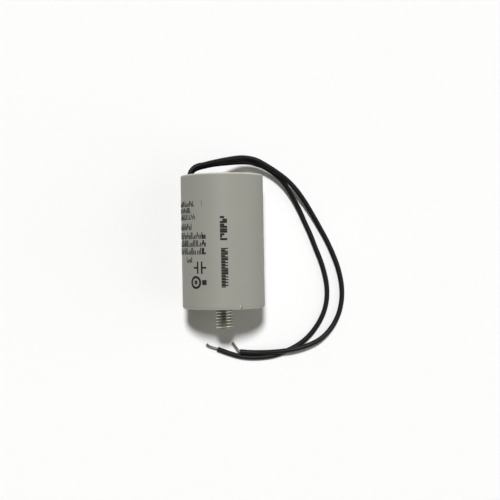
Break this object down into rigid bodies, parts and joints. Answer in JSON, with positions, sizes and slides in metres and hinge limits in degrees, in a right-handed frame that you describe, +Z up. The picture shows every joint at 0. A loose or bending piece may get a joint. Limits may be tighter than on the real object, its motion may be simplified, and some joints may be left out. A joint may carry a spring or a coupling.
{
  "type": "motor run capacitor",
  "caption": "Round plastic-can motor run capacitor lying on its side: fixing stud in the base, resin-filled open end, and black insulated leads laid in a loop on the table.",
  "frame": {"origin": "on the table, at the bottom centre of the box round the can and its stud, without the free leads", "axes": "+Z up from the table; the can lies on its side along Y, its stud pointing to -Y and its leads leaving the open end at +Y; the leads are laid round the can on the +X side"},
  "size_m": [0.0726, 0.0926, 0.036],
  "materials": {
    "can_plastic": "moulded, satin, pale warm grey",
    "zinc_steel": "bright zinc-plated, rolled thread",
    "spacer_plastic": "moulded natural polypropylene",
    "core_plastic": "extruded tube",
    "metallised_film": "metallised film, silvery",
    "wrap_film": "clear plain film in several turns",
    "sprayed_zinc": "sprayed zinc, rough and matt",
    "solder": "bright solder",
    "resin": "cast polyurethane, flat with a small meniscus",
    "print_ink": "matt black pad-printed ink",
    "lead_insulation": "black flexible PVC, slight sheen",
    "tinned_copper": "tinned stranded copper, dull silver"
  },
  "bodies": {
    "root": {"can": "can_plastic", "mounting_stud": "zinc_steel", "base_spacer": "spacer_plastic", "winding_core": "core_plastic", "film_winding": "metallised_film", "winding_wrap": "wrap_film", "end_spray_base": "sprayed_zinc", "end_spray_top": "sprayed_zinc", "solder_joint_base": "solder", "solder_joint_top": "solder", "potting_resin": "resin", "upper_lead_inner": "lead_insulation", "lower_lead_inner": "lead_insulation", "upper_lead_tail": "tinned_copper", "lower_lead_tail": "tinned_copper", "upper_lead": "lead_insulation", "lower_lead": "lead_insulation", "upper_lead_tip": "tinned_copper", "lower_lead_tip": "tinned_copper"}
  },
  "joints": []
}
